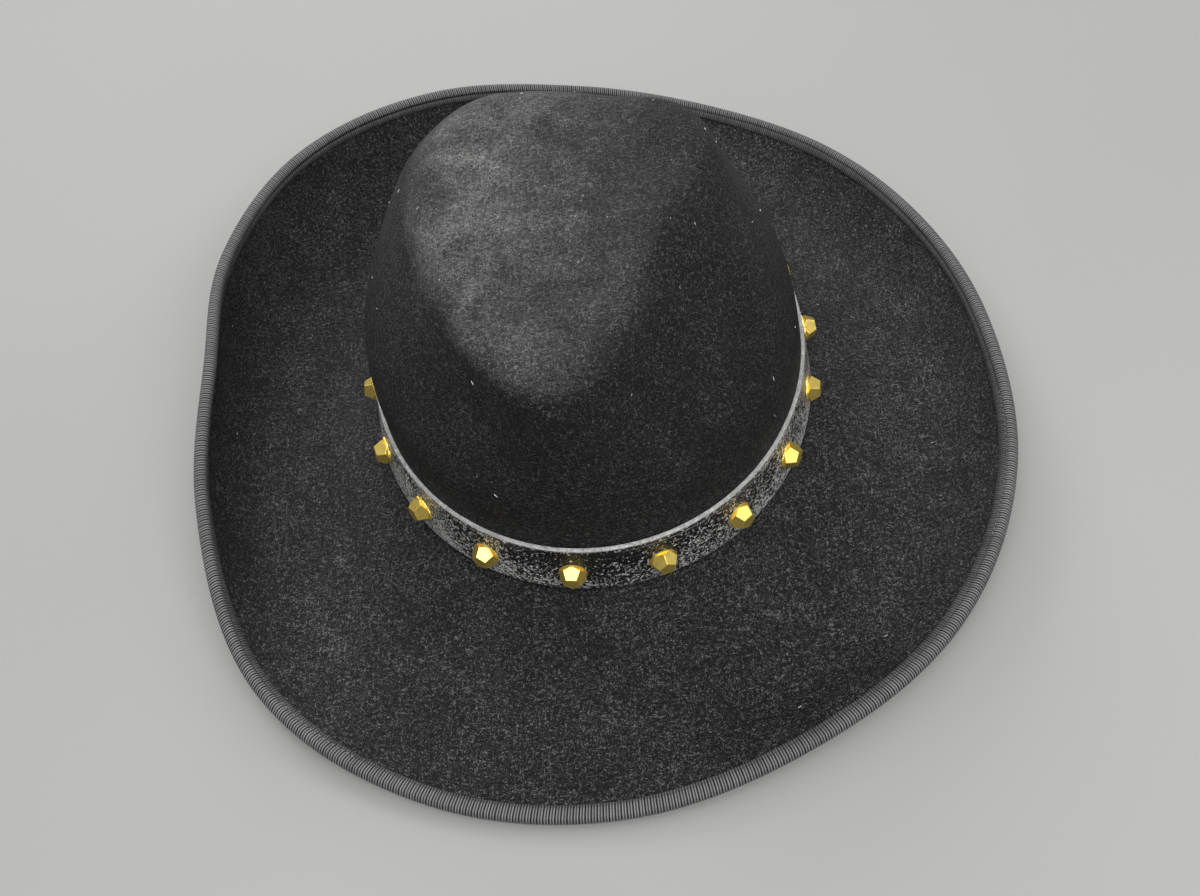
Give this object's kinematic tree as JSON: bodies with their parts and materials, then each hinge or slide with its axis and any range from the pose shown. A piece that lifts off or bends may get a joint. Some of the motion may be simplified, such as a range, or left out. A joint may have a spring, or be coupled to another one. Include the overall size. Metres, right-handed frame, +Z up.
{
  "type": "wide-brim felt hat",
  "caption": "Black felt hat with a pinched teardrop crown, wide brim with curled ribbon-bound rim, and a worn leather band set with faceted gold studs.",
  "frame": {"origin": "bottom centre of the overall box: the floor under the flat ring of the brim", "axes": "+Z up out of the crown, the front of the hat towards -Y, +X to the right seen from the front"},
  "size_m": [0.3186, 0.36, 0.121],
  "materials": {
    "black_felt": "matte pressed wool felt with fine grey fibres",
    "worn_leather": "black leather rubbed silvery at the edges",
    "grosgrain_ribbon": "charcoal ribbed grosgrain, low sheen",
    "gold_studs": "bright gold plating, flat facets"
  },
  "bodies": {
    "root": {"felt_body": "black_felt", "hat_band": "worn_leather", "brim_binding": "grosgrain_ribbon", "stud_01": "gold_studs", "stud_02": "gold_studs", "stud_03": "gold_studs", "stud_04": "gold_studs", "stud_05": "gold_studs", "stud_06": "gold_studs", "stud_07": "gold_studs", "stud_08": "gold_studs", "stud_09": "gold_studs", "stud_10": "gold_studs", "stud_11": "gold_studs", "stud_12": "gold_studs", "stud_13": "gold_studs", "stud_14": "gold_studs", "stud_15": "gold_studs", "stud_16": "gold_studs", "stud_17": "gold_studs", "stud_18": "gold_studs"}
  },
  "joints": []
}
